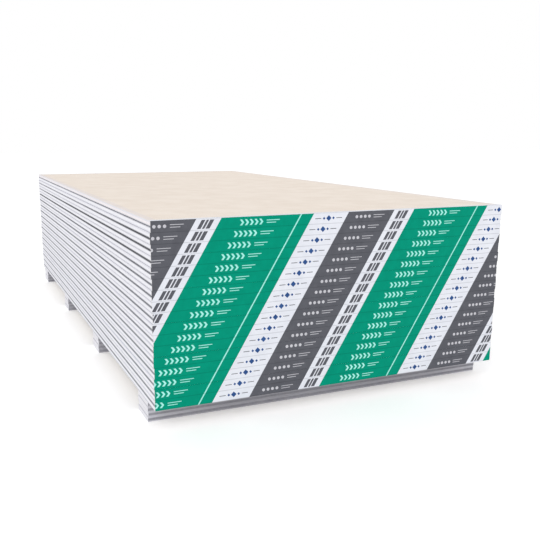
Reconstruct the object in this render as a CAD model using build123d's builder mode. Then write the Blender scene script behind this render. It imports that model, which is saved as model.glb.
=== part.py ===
from build123d import *
from math import sin
import os

# A lift of drywall: sheets lying face to face in pairs, each pair bound at both
# ends by a folded paper tape, the whole stack standing on four glued risers.
# Millimetres. X runs across the sheets, Y along them, Z up from the floor.

# One sheet, nominally 4 ft by 8 ft by 5/8 in
sheet_width = 1219.2
sheet_length = 2438.4
sheet_thickness = 15.875
taper_width = 60.0
taper_depth = 2.2
back_corner_radius = 2.0
face_corner_radius = 2.4

# The stack, and the space left between flat faces that lie on each other
pair_count = 17
rest_gap = 0.1
pair_jog_across = 1.2
pair_jog_along = 0.1

# The end tapes, of stiff paper
tape_thickness = 0.13
tape_flange = 22.0
tape_side_inset = 1.0
tape_clearance = 0.03

# The risers, each of strips cut from the same board
riser_count = 4
riser_strips = 4
riser_width = 114.3
riser_thickness = 15.875
riser_end_inset = 0.5
front_setback = 78.0
rear_setback = 52.0
glue_line = 0.15
strip_corner_radius = 1.8
strip_jog = 1.0

# Places that follow from the sizes above
back_gap = 2 * tape_thickness + 3 * tape_clearance
pair_thickness = 2 * sheet_thickness + rest_gap
pair_pitch = pair_thickness + back_gap
tape_width = sheet_width - 2 * tape_side_inset
strip_length = sheet_width - 2 * riser_end_inset
strip_pitch = riser_thickness + glue_line
riser_height = riser_strips * strip_pitch - glue_line
stack_bottom = riser_height + rest_gap
front_end = -sheet_length / 2
rear_end = sheet_length / 2
first_riser = front_end + front_setback + riser_width / 2
last_riser = rear_end - rear_setback - riser_width / 2
riser_spacing = (last_riser - first_riser) / (riser_count - 1)


def write(piece, name):
    """Label a finished piece and write it to its own STEP file."""
    piece.label = name
    export_step(piece, f"parts/{name}.step")


def jog(limit, step, number):
    """How far piece number lies out of line: uneven, but the same each time."""
    return limit * sin(0.5 + step * number)


def make_sheet(number, back_height, towards_face, across, along):
    """One sheet: its cross-section carried from the front end to the rear end.

    The back is flat at back_height. The face is one thickness away, up or down as
    towards_face is 1 or -1, and slopes towards the back beside both long edges,
    where the face paper folds round the corners.
    """
    half_width = sheet_width / 2
    flat_half = half_width - taper_width
    face_height = back_height + towards_face * sheet_thickness
    edge_height = face_height - towards_face * taper_depth
    corners = ((back_height, back_corner_radius), (edge_height, face_corner_radius))
    with BuildPart() as sheet:
        with BuildSketch(Plane.XZ.offset(-front_end - along)) as section:
            with BuildLine():
                Polyline(
                    (across - half_width, back_height),
                    (across + half_width, back_height),
                    (across + half_width, edge_height),
                    (across + flat_half, face_height),
                    (across - flat_half, face_height),
                    (across - half_width, edge_height),
                    close=True,
                )
            make_face()
            for height, radius in corners:
                here = (height - taper_depth / 2, height + taper_depth / 2)
                fillet(section.vertices().filter_by_position(Axis.Z, *here), radius)
        extrude(amount=-sheet_length)
    write(sheet.part, f"sheet_{number:02d}")


def make_end_tapes(number, pair_bottom, across, along):
    """The two tapes of one pair: a web over both cut ends and a flange on each back."""
    inner_height = pair_thickness + 2 * tape_clearance
    outer_height = inner_height + 2 * tape_thickness
    outer_depth = tape_flange + tape_thickness
    middle = pair_bottom + pair_thickness / 2
    with BuildPart() as tapes:
        with BuildSketch(Plane.YZ.offset(across - tape_width / 2)):
            for end in (-1, 1):
                web_inside = along + end * (sheet_length / 2 + tape_clearance)
                web_outside = web_inside + end * tape_thickness
                flange_edge = web_inside - end * tape_flange
                with Locations(((web_outside + flange_edge) / 2, middle)):
                    Rectangle(outer_depth, outer_height)
                with Locations(((web_inside + flange_edge) / 2, middle)):
                    Rectangle(tape_flange, inner_height, mode=Mode.SUBTRACT)
        extrude(amount=tape_width)
    write(tapes.part, f"end_tapes_{number:02d}")


def make_riser(number, middle):
    """One riser: strips of board laid flat across the stack, one on another."""
    with BuildPart() as riser:
        for layer in range(riser_strips):
            strip = number * riser_strips + layer
            across = jog(strip_jog, 3.9, strip)
            along = middle + jog(strip_jog, 1.7, strip)
            centre_height = layer * strip_pitch + riser_thickness / 2
            with BuildSketch(Plane.YZ.offset(across - strip_length / 2)) as section:
                with Locations((along, centre_height)):
                    Rectangle(riser_width, riser_thickness)
                fillet(section.vertices(), strip_corner_radius)
            extrude(amount=strip_length)
    write(riser.part, f"riser_{number}")


os.makedirs("parts", exist_ok=True)

for riser_number in range(riser_count):
    make_riser(riser_number + 1, first_riser + riser_number * riser_spacing)

for pair in range(pair_count):
    pair_bottom = stack_bottom + pair * pair_pitch
    pair_across = jog(pair_jog_across, 2.4, pair)
    pair_along = jog(pair_jog_along, 4.1, pair)
    make_sheet(2 * pair + 1, pair_bottom, 1, pair_across, pair_along)
    make_sheet(2 * pair + 2, pair_bottom + pair_thickness, -1, pair_across, pair_along)
    make_end_tapes(pair + 1, pair_bottom, pair_across, pair_along)
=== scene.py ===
"""A lift of drywall: the finish of its boards, end tapes, print and risers."""

import math

import bpy
import numpy as np
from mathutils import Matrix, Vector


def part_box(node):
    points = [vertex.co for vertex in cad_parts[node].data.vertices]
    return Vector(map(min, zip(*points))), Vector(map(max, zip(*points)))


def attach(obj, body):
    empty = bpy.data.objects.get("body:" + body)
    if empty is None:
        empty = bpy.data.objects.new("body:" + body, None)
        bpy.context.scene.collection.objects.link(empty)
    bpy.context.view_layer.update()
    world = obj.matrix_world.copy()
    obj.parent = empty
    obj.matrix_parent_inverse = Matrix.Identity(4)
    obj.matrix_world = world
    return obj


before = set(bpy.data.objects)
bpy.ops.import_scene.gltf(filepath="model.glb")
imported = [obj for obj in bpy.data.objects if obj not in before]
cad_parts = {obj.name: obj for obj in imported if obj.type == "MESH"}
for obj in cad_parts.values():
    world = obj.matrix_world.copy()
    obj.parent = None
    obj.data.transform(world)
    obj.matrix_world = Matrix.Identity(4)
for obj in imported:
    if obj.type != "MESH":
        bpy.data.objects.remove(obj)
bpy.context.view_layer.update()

MM = 0.001

# The stack, as the frame gives it. Boards lie in pairs, the lower one face up
SHEETS = sorted(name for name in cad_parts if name.startswith("sheet_"))
TAPES = sorted(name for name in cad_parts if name.startswith("end_tapes_"))
RISERS = sorted(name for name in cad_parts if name.startswith("riser_"))
SHEET_LOW, SHEET_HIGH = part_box(SHEETS[0])
HALF_WIDTH = (SHEET_HIGH.x - SHEET_LOW.x) / 2
FIRST_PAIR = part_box(TAPES[0])[0].z
PAIR_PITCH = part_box(TAPES[1])[0].z - FIRST_PAIR
HALF_PITCH = PAIR_PITCH / 2
RISER_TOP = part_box(RISERS[0])[1].z
STRIPS_IN_A_RISER = 4
STRIP_PITCH = RISER_TOP / STRIPS_IN_A_RISER

# Noise is spread out from its middle values to 0 and 1, softly or strongly
SOFT_SPAN = (0.3, 0.7)
STRONG_SPAN = (0.35, 0.65)

# A surface faces a way where that part of its normal passes from one value to the other
EDGE_TURN = (0.2, 0.5)
CUT_TURN = (0.6, 0.8)
END_TURN = (0.3, 0.7)
FLAT_TURN = (0.93, 0.98)

# The face paper folds round a long edge and is glued this far onto the back
LAP_WIDTH = 24 * MM
TAPER_WIDTH = 60 * MM

# Painted shade fills a groove: none and all of it at these distances from the groove's middle.
# It reaches a little further up the upper board of a pair
GROOVE_SHADE_FADE = (5.2 * MM, 3.2 * MM)
GROOVE_SHADE_LIFT = 0.5 * MM

# The painted groove shade is darkest from one pair up, and at the middle of the length
# it is lighter from another pair up. Each change takes this share of a pair to both sides
DARKEST_SHADE_PAIR = 13
LIGHTER_SHADE_PAIR = 15
PAIR_BLEND = 0.4

# How much further down the stack the lighter painted shade reaches, for each metre towards the
# rear
SHADE_REACH_SLOPE = 26 * MM

# Where two pairs meet: painted shade darkens the paper and the corners within these
# distances of the line, and the corner shade lies on the outermost rim
LINE_SHADE_FADE = (7 * MM, 1.5 * MM)
CORNER_SHADE_FADE = (1.3 * MM, 0.5 * MM)
RIM_WIDTH = 3 * MM

# A joint between two strips of a riser is a line on the ends and paper on the long
# sides, which gets painted light over some length beside the ends
JOINT_LINE_FADE = (2.4 * MM, 1.2 * MM)
JOINT_PAPER_FADE = (6 * MM, 2 * MM)
END_LIGHT_LENGTH = 320 * MM

# The painted shade of the seam between two tapes keeps this share of their colour,
# and fades over this distance
SEAM_SHADE = 0.76
SEAM_FADE = (0.5 * MM, 1.5 * MM)

# Each layer of ink stands this far out of the one under it
INK_LAYER = 0.1 * MM

# The print on the end tapes, in millimetres. Bands lean up the stack, and fill one
# repeat side by side
ROW = PAIR_PITCH / MM
LEAN = 0.6
LEAD = -120
GREEN_BAND = 250
PALE_LINE = 4.5
GREEN_STRIPE = 40
DIAMOND_BAND = 120
GREY_BAND = 165
BAR_BAND = 75
PRINT_REPEAT = GREEN_BAND + PALE_LINE + GREEN_STRIPE + DIAMOND_BAND + GREY_BAND + BAR_BAND

# Enough repeats to cover a tape from side to side on every row
REPEATS = range(-2, 3)

# The marks on the bands: how far in the first one stands, how far apart they are, and
# how far the dashes are from the middle of the row
GREEN_INSET = 72
GREY_INSET = 38
MARK_PITCH = 15
DASH_RISE = 3.5


def linear(colour):
    """A colour written as sRGB hex, turned to linear light with full alpha."""
    values = np.array([int(colour[i:i + 2], 16) for i in (1, 3, 5)]) / 255
    light = np.where(values <= 0.04045, values / 12.92, ((values + 0.055) / 1.055) ** 2.4)
    return (*light.tolist(), 1.0)


def fill_inputs(tree, node, inputs):
    """Give a node's inputs their values and links.

    Inputs come by name, or in the order of the sockets in use. Each is a value, a
    colour written as hex, or a link from a socket or from a node's first output in use.
    """
    in_use = [socket for socket in node.inputs if socket.enabled]
    if isinstance(inputs, dict):
        named = {socket.name: socket for socket in in_use}
        filled = [(named[name], value) for name, value in inputs.items()]
    else:
        filled = zip(in_use, inputs)
    for socket, value in filled:
        if isinstance(value, bpy.types.Node):
            value = next(output for output in value.outputs if output.enabled)
        if isinstance(value, bpy.types.NodeSocket):
            tree.links.new(value, socket)
        elif isinstance(value, str):
            socket.default_value = linear(value)
        else:
            socket.default_value = value


def add_node(tree, kind, inputs=(), **settings):
    """Add one node with its inputs. Settings are its own properties."""
    made = tree.nodes.new("ShaderNode" + kind)
    for name, value in settings.items():
        setattr(made, name, value)
    fill_inputs(tree, made, inputs)
    return made


def new_material(name, roughness, specular):
    """A material with one Principled shader, and that shader's tree and node."""
    material = bpy.data.materials.new(name)
    material.use_nodes = True
    tree = material.node_tree
    shader = tree.nodes["Principled BSDF"]
    fill_inputs(tree, shader, {"Roughness": roughness, "IOR": 1.5,
                               "Specular IOR Level": specular})
    return material, tree, shader


def board_paper(name, thin, thick, upward_corner_shade):
    """Drywall paper, machine-made from recycled fibre, on boards that lie face to face.

    The back is a warm cream sheet with soft cloudy patches. The face paper is a cooler
    white, from thin to thick: it folds round the long edges and a little way onto the
    back. Grey painted shade darkens it in the tapers, round the corners beside them and,
    more faintly, towards the line where two pairs meet. In the grooves the painted shade
    is darkest in the pairs near the top of the stack, and much lighter in the top pair.
    The back corners carry painted shade, dark where they look down. Where they look up
    it has the colour passed in for upward corners. The cut ends show the gypsum core.
    """
    material, tree, shader = new_material(name, roughness=0.85, specular=0.2)
    place = add_node(tree, "TexCoord")
    spot = add_node(tree, "SeparateXYZ", [place.outputs["Object"]])
    facing = add_node(tree, "SeparateXYZ", [place.outputs["Normal"]])
    aside = add_node(tree, "Math", [spot.outputs["X"]], operation="ABSOLUTE")
    sideways = add_node(tree, "Math", [facing.outputs["X"]], operation="ABSOLUTE")
    endways = add_node(tree, "Math", [facing.outputs["Y"]], operation="ABSOLUTE")
    # How far a spot is above or below the nearest line where two pairs meet
    height = add_node(tree, "Math", [spot.outputs["Z"], FIRST_PAIR], operation="SUBTRACT")
    over_line = add_node(tree, "Math", [height, HALF_PITCH, -HALF_PITCH], operation="WRAP")
    from_line = add_node(tree, "Math", [over_line], operation="ABSOLUTE")
    # The same for the painted groove shade, which lies a little higher
    raised = add_node(tree, "Math", [height, GROOVE_SHADE_LIFT], operation="SUBTRACT")
    from_groove_shade = add_node(tree, "Math", [raised, HALF_PITCH], operation="PINGPONG")
    # The lighter painted shade reaches down from the top by one pair at the front,
    # and more towards the rear
    reached = add_node(tree, "Math", [spot.outputs["Y"], SHADE_REACH_SLOPE, height],
                       operation="MULTIPLY_ADD")
    shade_lightened = add_node(tree, "MapRange", [reached, (LIGHTER_SHADE_PAIR - PAIR_BLEND) * PAIR_PITCH,
                                          (LIGHTER_SHADE_PAIR + PAIR_BLEND) * PAIR_PITCH])
    shade_darkest = add_node(tree, "MapRange", [height, (DARKEST_SHADE_PAIR - PAIR_BLEND) * PAIR_PITCH,
                                            (DARKEST_SHADE_PAIR + PAIR_BLEND) * PAIR_PITCH])
    # Clouds of fibre, some 90 mm across, and specks of 6 mm
    clouds = add_node(tree, "TexNoise", {"Vector": place.outputs["Object"],
                                         "Scale": 1 / (90 * MM), "Detail": 4, "Roughness": 0.55})
    specks = add_node(tree, "TexNoise", {"Vector": place.outputs["Object"],
                                         "Scale": 1 / (6 * MM), "Detail": 3, "Roughness": 0.6})
    cloud = add_node(tree, "MapRange", [clouds, *SOFT_SPAN], interpolation_type="SMOOTHSTEP")
    speck = add_node(tree, "MapRange", [specks, *SOFT_SPAN], interpolation_type="SMOOTHSTEP")
    # The painted groove shade differs a little from pair to pair, and along a groove in
    # runs of some 300 mm
    runs = add_node(tree, "VectorMath", [place.outputs["Object"], (0, 0.1, 1)],
                    operation="MULTIPLY")
    drifts = add_node(tree, "TexNoise", {"Vector": runs, "Scale": 1 / (30 * MM), "Detail": 2})
    drift = add_node(tree, "MapRange", [drifts, *STRONG_SPAN, 0.95, 1.05],
                     interpolation_type="SMOOTHSTEP")
    # Where each paper and each painted shade lies, from 0 to 1
    lap_line = HALF_WIDTH - LAP_WIDTH
    lap = add_node(tree, "MapRange", [aside, lap_line - 1 * MM, lap_line + 1 * MM])
    edge = add_node(tree, "MapRange", [sideways, *EDGE_TURN])
    # Painted groove shade: 0 away from a groove and 1 near its middle
    face = add_node(tree, "MapRange", [from_groove_shade, *(HALF_PITCH - reach for reach in GROOVE_SHADE_FADE)])
    cut = add_node(tree, "MapRange", [endways, *CUT_TURN])
    taper = add_node(tree, "MapRange", [aside, HALF_WIDTH - TAPER_WIDTH,
                                        HALF_WIDTH - TAPER_WIDTH / 2])
    line_shade = add_node(tree, "MapRange", [from_line, *LINE_SHADE_FADE],
                         interpolation_type="SMOOTHSTEP")
    rim = add_node(tree, "Math", [aside, HALF_WIDTH - RIM_WIDTH], operation="GREATER_THAN")
    corner = add_node(tree, "MapRange", [from_line, *CORNER_SHADE_FADE])
    cornered = add_node(tree, "Math", [rim, corner], operation="MULTIPLY")
    looks_down = add_node(tree, "MapRange", [over_line, -0.1 * MM, 0.1 * MM])
    # The papers, the core and the painted shades, each a little uneven, laid over one another
    back_paper = add_node(tree, "Mix", [cloud, "#F0E4D8", "#F6EBE0"], data_type="RGBA")
    lap_paper = add_node(tree, "Mix", [cloud, "#EAE1DC", "#F0E7E2"], data_type="RGBA")
    face_paper = add_node(tree, "Mix", [cloud, thin, thick], data_type="RGBA")
    core = add_node(tree, "Mix", [speck, "#D9D7D6", "#E6E4E3"], data_type="RGBA")
    # Painted shade in the grooves: darkest from one pair up, lighter near the top
    groove_shade_base = add_node(tree, "Mix", [shade_darkest, "#B4B5BC", "#98999F"], data_type="RGBA")
    groove_shade_by_height = add_node(tree, "Mix", [shade_lightened, groove_shade_base, "#DADAE0"], data_type="RGBA")
    groove_shade = add_node(tree, "HueSaturation", {"Value": drift, "Color": groove_shade_by_height})
    taper_paper_shaded = add_node(tree, "Mix", [taper, "#E9E9F0", groove_shade], data_type="RGBA")
    # The edge paper with painted shade towards the line where two pairs meet
    edge_paper_shaded = add_node(tree, "Mix", [line_shade, face_paper, "#E6E6EE"], data_type="RGBA")
    # Painted shade on the back corners at the outer rim: dark where they look down
    corner_shade = add_node(tree, "Mix", [looks_down, upward_corner_shade, "#98989F"], data_type="RGBA")
    lapped = add_node(tree, "Mix", [lap, back_paper, lap_paper], data_type="RGBA")
    edged = add_node(tree, "Mix", [edge, lapped, edge_paper_shaded], data_type="RGBA")
    groove_shaded = add_node(tree, "Mix", [face, edged, taper_paper_shaded], data_type="RGBA")
    corners_shaded = add_node(tree, "Mix", [cornered, groove_shaded, corner_shade], data_type="RGBA")
    cut_off = add_node(tree, "Mix", [cut, corners_shaded, core], data_type="RGBA")
    bump = add_node(tree, "Bump", {"Height": specks, "Strength": 0.12, "Distance": 0.2 * MM})
    fill_inputs(tree, shader, {"Base Color": cut_off, "Normal": bump})
    return material


def riser_board(name, end_light):
    """Strips cut from the same board: the ends clean and pale, the long sides in painted shade.

    On the long sides the painted shade is darkest on the core, and the paper at every joint
    between two strips is paler. Towards the ends that paper gets painted light, by as much
    as the share given for the ends, from 0 to 1. On the ends each joint is a pale grey line.
    """
    material, tree, shader = new_material(name, roughness=0.9, specular=0.15)
    place = add_node(tree, "TexCoord")
    spot = add_node(tree, "SeparateXYZ", [place.outputs["Object"]])
    facing = add_node(tree, "SeparateXYZ", [place.outputs["Normal"]])
    upward = add_node(tree, "Math", [facing.outputs["Z"]], operation="ABSOLUTE")
    endways = add_node(tree, "Math", [facing.outputs["X"]], operation="ABSOLUTE")
    aside = add_node(tree, "Math", [spot.outputs["X"]], operation="ABSOLUTE")
    # How far a spot is from the nearest joint
    from_joint = add_node(tree, "Math", [spot.outputs["Z"], STRIP_PITCH / 2],
                          operation="PINGPONG")
    # Grains of gypsum, some 9 mm across, and smears of 140 mm
    grains = add_node(tree, "TexNoise", {"Vector": place.outputs["Object"],
                                         "Scale": 1 / (9 * MM), "Detail": 5, "Roughness": 0.65})
    smears = add_node(tree, "TexNoise", {"Vector": place.outputs["Object"],
                                         "Scale": 1 / (140 * MM), "Detail": 3})
    grain = add_node(tree, "MapRange", [grains, *SOFT_SPAN], interpolation_type="SMOOTHSTEP")
    smear = add_node(tree, "MapRange", [smears, *STRONG_SPAN], interpolation_type="SMOOTHSTEP")
    # Where each surface lies, from 0 to 1
    joint = add_node(tree, "MapRange", [from_joint, *JOINT_LINE_FADE])
    papered = add_node(tree, "MapRange", [from_joint, *JOINT_PAPER_FADE],
                       interpolation_type="SMOOTHSTEP")
    end = add_node(tree, "MapRange", [endways, *END_TURN])
    # Painted light on the long sides' joint paper, growing towards the ends
    near_end = add_node(tree, "MapRange", [aside, HALF_WIDTH - END_LIGHT_LENGTH, HALF_WIDTH, 0,
                                           end_light], interpolation_type="SMOOTHSTEP")
    flat = add_node(tree, "MapRange", [upward, *FLAT_TURN])
    # The surfaces, each a little uneven, laid over one another
    clean = add_node(tree, "Mix", [grain, "#E9E8ED", "#F3F2F7"], data_type="RGBA")
    # The long sides are painted dark as shade: the core darkest, the joint paper paler
    dark = add_node(tree, "Mix", [grain, "#8B8B93", "#97979F"], data_type="RGBA")
    pale = add_node(tree, "Mix", [grain, "#95959D", "#A1A1A9"], data_type="RGBA")
    shaded_core = add_node(tree, "Mix", [smear, dark, pale], data_type="RGBA")
    paper = add_node(tree, "Mix", [near_end, "#B6B6BE", "#CDCDD5"], data_type="RGBA")
    striped = add_node(tree, "Mix", [papered, shaded_core, paper], data_type="RGBA")
    lined = add_node(tree, "Mix", [joint, clean, "#DADAE0"], data_type="RGBA")
    sided = add_node(tree, "Mix", [end, striped, lined], data_type="RGBA")
    covered = add_node(tree, "Mix", [flat, sided, "#C6C6CC"], data_type="RGBA")
    bump = add_node(tree, "Bump", {"Height": grains, "Strength": 0.4, "Distance": 0.6 * MM})
    fill_inputs(tree, shader, {"Base Color": covered, "Normal": bump})
    return material


def shaded_at_folds(tree, place, colour):
    """The colour of a tape, darker in a fine line where two tapes meet.

    A real fold is round, so between two tapes there is a shallow seam in shade, and that
    shade is painted here as a grey line. It shows on the upright faces only, not on the
    flanges.
    """
    spot = add_node(tree, "SeparateXYZ", [place.outputs["Object"]])
    facing = add_node(tree, "SeparateXYZ", [place.outputs["Normal"]])
    endways = add_node(tree, "Math", [facing.outputs["Y"]], operation="ABSOLUTE")
    height = add_node(tree, "Math", [spot.outputs["Z"], FIRST_PAIR], operation="SUBTRACT")
    from_seam = add_node(tree, "Math", [height, HALF_PITCH], operation="PINGPONG")
    darkest = add_node(tree, "MapRange", [endways, *END_TURN, 1, SEAM_SHADE])
    shade = add_node(tree, "MapRange", [from_seam, *SEAM_FADE, darkest])
    return add_node(tree, "HueSaturation", {"Value": shade, "Color": colour})


def coated_paper():
    """Clay-coated white paper, calendered, with a slight sheen and clouds of some 40 mm."""
    material, tree, shader = new_material("coated_tape_paper", roughness=0.55, specular=0.25)
    place = add_node(tree, "TexCoord")
    clouds = add_node(tree, "TexNoise", {"Vector": place.outputs["Object"],
                                         "Scale": 1 / (40 * MM), "Detail": 4})
    cloud = add_node(tree, "MapRange", [clouds, *SOFT_SPAN], interpolation_type="SMOOTHSTEP")
    paper = add_node(tree, "Mix", [cloud, "#E5E7F0", "#EBEDF5"], data_type="RGBA")
    fill_inputs(tree, shader, {"Base Color": shaded_at_folds(tree, place, paper)})
    return material


def printing_ink(name, thin, thick):
    """Flexographic ink on coated paper: a flat colour, a little thinner in patches of 25 mm."""
    material, tree, shader = new_material(name, roughness=0.6, specular=0.05)
    place = add_node(tree, "TexCoord")
    lay = add_node(tree, "TexNoise", {"Vector": place.outputs["Object"],
                                      "Scale": 1 / (25 * MM), "Detail": 5, "Roughness": 0.6})
    cover = add_node(tree, "MapRange", [lay, *SOFT_SPAN], interpolation_type="SMOOTHSTEP")
    ink = add_node(tree, "Mix", [cover, thin, thick], data_type="RGBA")
    fill_inputs(tree, shader, {"Base Color": shaded_at_folds(tree, place, ink)})
    return material


def band(left, width):
    """A leaning stripe one row high: its corners follow the lean up the tape."""
    carried = LEAN * ROW
    return np.array([(left, 0), (left + width, 0), (left + width + carried, ROW),
                     (left + carried, ROW)])


def block(centre, height, width, tall, slope=0.0):
    """A four-cornered mark about a centre: a rectangle, or leaning by slope."""
    half = np.array([(-1, -1), (1, -1), (1, 1), (-1, 1)]) * (width / 2, tall / 2)
    half[:, 0] += slope * half[:, 1]
    return half + (centre, height)


def regular(centre, height, radius, corners):
    """A mark with equal sides: its corners stand evenly round a circle, one at the right."""
    turn = np.arange(corners) * 2 * math.pi / corners
    return np.stack([centre + radius * np.cos(turn), height + radius * np.sin(turn)], 1)


def arrow(centre, height, width, tall):
    """An arrowhead without a stem: two leaning blocks that meet at its middle height."""
    lean = 0.75
    return [block(centre, height + tall / 4, width, tall / 2, -lean),
            block(centre, height - tall / 4, width, tall / 2, lean)]


def green_marks(start, middle):
    """Five arrowheads and two dashes, pale on green, from a start across the row."""
    marks = []
    for number in range(5):
        marks += arrow(start + MARK_PITCH * number, middle, width=6.5, tall=17)
    marks.append(block(start + 98, middle + DASH_RISE, width=42, tall=2.2))
    marks.append(block(start + 92, middle - DASH_RISE, width=30, tall=2.2))
    return [("pale_green", 1, mark) for mark in marks]


def grey_marks(start, middle):
    """Four dots and two dashes, pale on grey, from a start across the row."""
    marks = [regular(start + MARK_PITCH * number, middle, radius=5, corners=10)
             for number in range(4)]
    marks.append(block(start + 80, middle + DASH_RISE, width=40, tall=1.8))
    marks.append(block(start + 75, middle - DASH_RISE, width=30, tall=1.8))
    return [("pale_grey", 1, mark) for mark in marks]


def diamond_marks(centre, middle):
    """A blue diamond between two small ones, with a grey dash on both sides."""
    marks = [("blue", 0, regular(centre + across, middle, radius, corners=4))
             for across, radius in ((-16, 4.5), (0, 9), (16, 4.5))]
    marks += [("grey", 0, block(centre + across, middle, width=20, tall=2))
              for across in (-36, 36)]
    return marks


def bar_marks(centre, middle):
    """Three leaning dark bars of unequal width."""
    return [("grey", 0, block(centre + across, middle, width, tall=25, slope=LEAN))
            for across, width in ((-14, 11), (-1, 7), (12, 12))]


def one_repeat():
    """The marks of one repeat on one row, as (ink, layer, outline).

    Outlines are in millimetres from the repeat's lower left. The marks on a band stand
    at the row's middle height, where the lean has carried the band across by shift.
    """
    middle = ROW / 2
    shift = LEAN * middle
    stripe = GREEN_BAND + PALE_LINE
    diamonds = stripe + GREEN_STRIPE
    grey = diamonds + DIAMOND_BAND
    bars = grey + GREY_BAND
    marks = [("green", 0, band(0, GREEN_BAND)), ("pale_green", 0, band(GREEN_BAND, PALE_LINE)),
             ("green", 0, band(stripe, GREEN_STRIPE)), ("grey", 0, band(grey, GREY_BAND))]
    marks += green_marks(GREEN_INSET + shift, middle)
    marks += diamond_marks(diamonds + DIAMOND_BAND / 2 + shift, middle)
    marks += grey_marks(grey + GREY_INSET + shift, middle)
    marks += bar_marks(bars + BAR_BAND / 2 + shift, middle)
    return marks


def trimmed(outline, limit, side):
    """The part of a convex outline where side times across is at most limit.

    Corners inside stay, and each edge that crosses the line gives a corner on it,
    at the share of the edge where the line is met.
    """
    inside = side * outline[:, 0] <= limit
    following = np.roll(outline, -1, axis=0)
    crosses = inside != np.roll(inside, -1)
    run = following[:, 0] - outline[:, 0]
    share = (side * limit - outline[:, 0]) / np.where(crosses, run, 1)
    cut = outline + share[:, None] * (following - outline)
    corners = np.stack([outline, cut], 1).reshape(-1, 2)
    return corners[np.stack([inside, crosses], 1).ravel()]


def prisms(outlines, bottoms, tops, turned):
    """Thin closed prisms on outlines of one corner count, (n, k, 2) across and up.

    Each stands from its bottom depth to its top depth out of the end of the stack:
    corner = (across, -depth, up), turned half a turn about Z for the rear end.
    """
    count, corners = outlines.shape[:2]
    rings = np.empty((count, 2, corners, 3))
    rings[..., 0] = outlines[:, None, :, 0]
    rings[..., 2] = outlines[:, None, :, 1]
    rings[:, 0, :, 1] = -bottoms[:, None]
    rings[:, 1, :, 1] = -tops[:, None]
    rings[..., :2] *= -1 if turned else 1
    start = np.arange(count)[:, None] * 2 * corners
    step = np.arange(corners)
    ahead = np.roll(step, -1)
    back = start + step[::-1]
    front = start + corners + step
    sides = np.stack([step, ahead, corners + ahead, corners + step], 1)
    walls = (start[:, :, None] + sides).reshape(-1, 4)
    return rings.reshape(-1, 3), [back, front, walls]


def mesh_object(name, parts, material):
    """One object from (vertices, [faces of one size each]) parts, joined as they come."""
    vertices, faces, offset = [], [], 0
    for points, groups in parts:
        vertices.append(points)
        for group in groups:
            faces += (group + offset).tolist()
        offset += len(points)
    mesh = bpy.data.meshes.new(name)
    mesh.from_pydata(np.concatenate(vertices).tolist(), [], faces)
    mesh.materials.append(material)
    piece = bpy.data.objects.new(name, mesh)
    bpy.context.scene.collection.objects.link(piece)
    return piece


def print_end(end, turned, inks):
    """All the print on one end of the stack, one object for each ink.

    The bands start LEAD from the end's left side at the top of the risers, and the lean
    carries them across from tape to tape. Marks are cut off at a tape's sides.
    """
    gathered = {}
    marks_in_a_repeat = one_repeat()
    for tape in TAPES:
        low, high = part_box(tape)
        left, right = (-high.x, -low.x) if turned else (low.x, high.x)
        surface = high.y if turned else -low.y
        drift = LEAD * MM + LEAN * (low.z - RISER_TOP) - HALF_WIDTH
        for repeat in REPEATS:
            for ink, layer, outline in marks_in_a_repeat:
                placed = outline * MM + (drift + repeat * PRINT_REPEAT * MM, 0)
                placed = trimmed(trimmed(placed, right, 1), -left, -1)
                if len(placed) < 3:
                    continue
                placed += (0, low.z)
                bottom = surface + layer * INK_LAYER
                gathered.setdefault((ink, len(placed)), []).append((placed, bottom))
    for ink, material in inks.items():
        parts = []
        for (used, _), marks in gathered.items():
            if used == ink:
                outlines = np.array([outline for outline, _ in marks])
                bottoms = np.array([bottom for _, bottom in marks])
                parts.append(prisms(outlines, bottoms, bottoms + INK_LAYER, turned))
        piece = mesh_object(f"{ink}_print_{end}", parts, material)
        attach(piece, "root")


def dress(names, material):
    """Give the CAD nodes their material."""
    for name in names:
        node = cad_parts[name]
        node.data.materials.clear()
        node.data.materials.append(material)


def make_camera():
    """A camera at the photograph's place, in the row frame."""
    lens = bpy.data.cameras.new("camera")
    lens.lens = 46.4
    lens.shift_x = 0.0434
    lens.shift_y = 0.0366
    camera = bpy.data.objects.new("camera", lens)
    camera.location = (-1.1021, -3.0439, 0.8385)
    camera.rotation_euler = [math.radians(angle) for angle in (77.46, -0.127, -23.053)]
    bpy.context.scene.collection.objects.link(camera)
    bpy.context.scene.camera = camera


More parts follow.
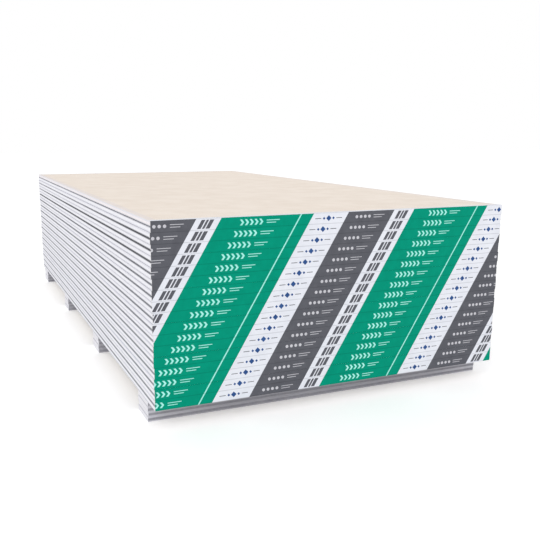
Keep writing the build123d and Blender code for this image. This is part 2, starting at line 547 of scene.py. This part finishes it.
def make_floor():
    """A wide white floor: white paint to the light, and a little brighter to the eye."""
    half = 30.0
    mesh = bpy.data.meshes.new("floor")
    mesh.from_pydata([(-half, -half, 0), (half, -half, 0), (half, half, 0), (-half, half, 0)],
                     [], [(0, 1, 2, 3)])
    floor = bpy.data.objects.new("floor", mesh)
    bpy.context.scene.collection.objects.link(floor)
    material, tree, shader = new_material("white_floor", roughness=1.0, specular=0.0)
    fill_inputs(tree, shader, {"Base Color": (0.85, 0.85, 0.85, 1)})
    path = add_node(tree, "LightPath")
    seen = add_node(tree, "BsdfDiffuse", {"Color": "#FFFFFF"})
    glow = add_node(tree, "Emission", {"Color": "#FFFFFF", "Strength": 0.18})
    both = add_node(tree, "AddShader", [seen, glow])
    mixed = add_node(tree, "MixShader", [path.outputs["Is Camera Ray"], shader, both])
    fill_inputs(tree, tree.nodes["Material Output"], {"Surface": mixed})
    mesh.materials.append(material)


def make_lights():
    """Soft white light from all round, with a broad soft sun from the front left."""
    world = bpy.data.worlds.new("studio")
    world.use_nodes = True
    tree = world.node_tree
    path = add_node(tree, "LightPath")
    to_light = tree.nodes["Background"]
    fill_inputs(tree, to_light, {"Color": "#FFFFFF", "Strength": 0.75})
    to_eye = add_node(tree, "Background", {"Color": "#FFFFFF", "Strength": 1.0})
    mixed = add_node(tree, "MixShader", [path.outputs["Is Camera Ray"], to_light, to_eye])
    fill_inputs(tree, tree.nodes["World Output"], {"Surface": mixed})
    bpy.context.scene.world = world
    sun = bpy.data.lights.new("soft_sun", "SUN")
    sun.energy = 1.2
    sun.angle = math.radians(50)
    lamp = bpy.data.objects.new("soft_sun", sun)
    lamp.rotation_euler = [math.radians(angle) for angle in (58, 0, -38)]
    bpy.context.scene.collection.objects.link(lamp)


make_camera()
make_floor()
make_lights()
bpy.context.scene.view_settings.view_transform = "Standard"

# The top board's edge paper is a little warmer, and only the front riser has painted
# light towards its ends
dress(SHEETS[:-1], board_paper("drywall_paper", "#F4F4FA", "#F9F9FE", "#E2E2EA"))
dress(SHEETS[-1:], board_paper("drywall_paper_top_board", "#F6F0F3", "#FBF5F7", "#EEEAEA"))
dress(TAPES, coated_paper())
dress(RISERS[:1], riser_board("sawn_gypsum_board_end_lit", end_light=1.0))
dress(RISERS[1:], riser_board("sawn_gypsum_board", end_light=0.0))

INKS = {
    "green": printing_ink("green_ink", "#00977B", "#009176"),
    "grey": printing_ink("dark_grey_ink", "#62636A", "#5C5D64"),
    "blue": printing_ink("blue_ink", "#3A5C94", "#2F4F86"),
    "pale_green": printing_ink("pale_green_tint", "#AFF6EC", "#A3EEE3"),
    "pale_grey": printing_ink("pale_grey_tint", "#CFCED4", "#C6C5CC"),
}
print_end("front", False, INKS)
print_end("rear", True, INKS)
